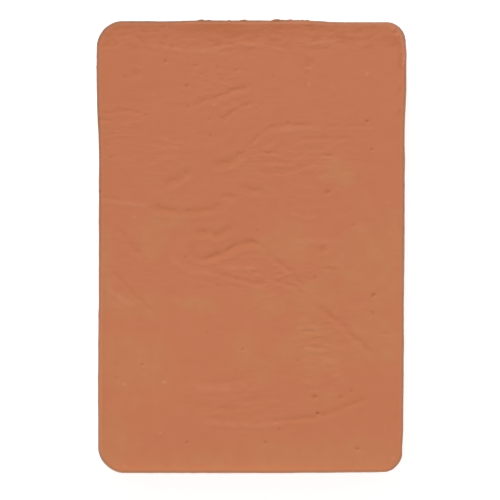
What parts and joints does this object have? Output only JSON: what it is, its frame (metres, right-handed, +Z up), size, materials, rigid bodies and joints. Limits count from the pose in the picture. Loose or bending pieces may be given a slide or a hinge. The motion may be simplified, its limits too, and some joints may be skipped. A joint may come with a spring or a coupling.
{
  "type": "clay bar",
  "caption": "Flat rounded slab of mouldable detailing clay, kneaded by hand and rubbed over wet car paint to lift bonded grime.",
  "frame": {"origin": "centre of the bar's flat base", "axes": "+Z up out of the creased top face, +Y along the length towards the slightly wider head end, +X to the right seen from above"},
  "size_m": [0.0752, 0.11, 0.015],
  "materials": {
    "clay": "matt, faintly waxy terracotta clay with pressed-in film creases and pinholes"
  },
  "bodies": {
    "root": {"clay_bar": "clay"}
  },
  "joints": []
}
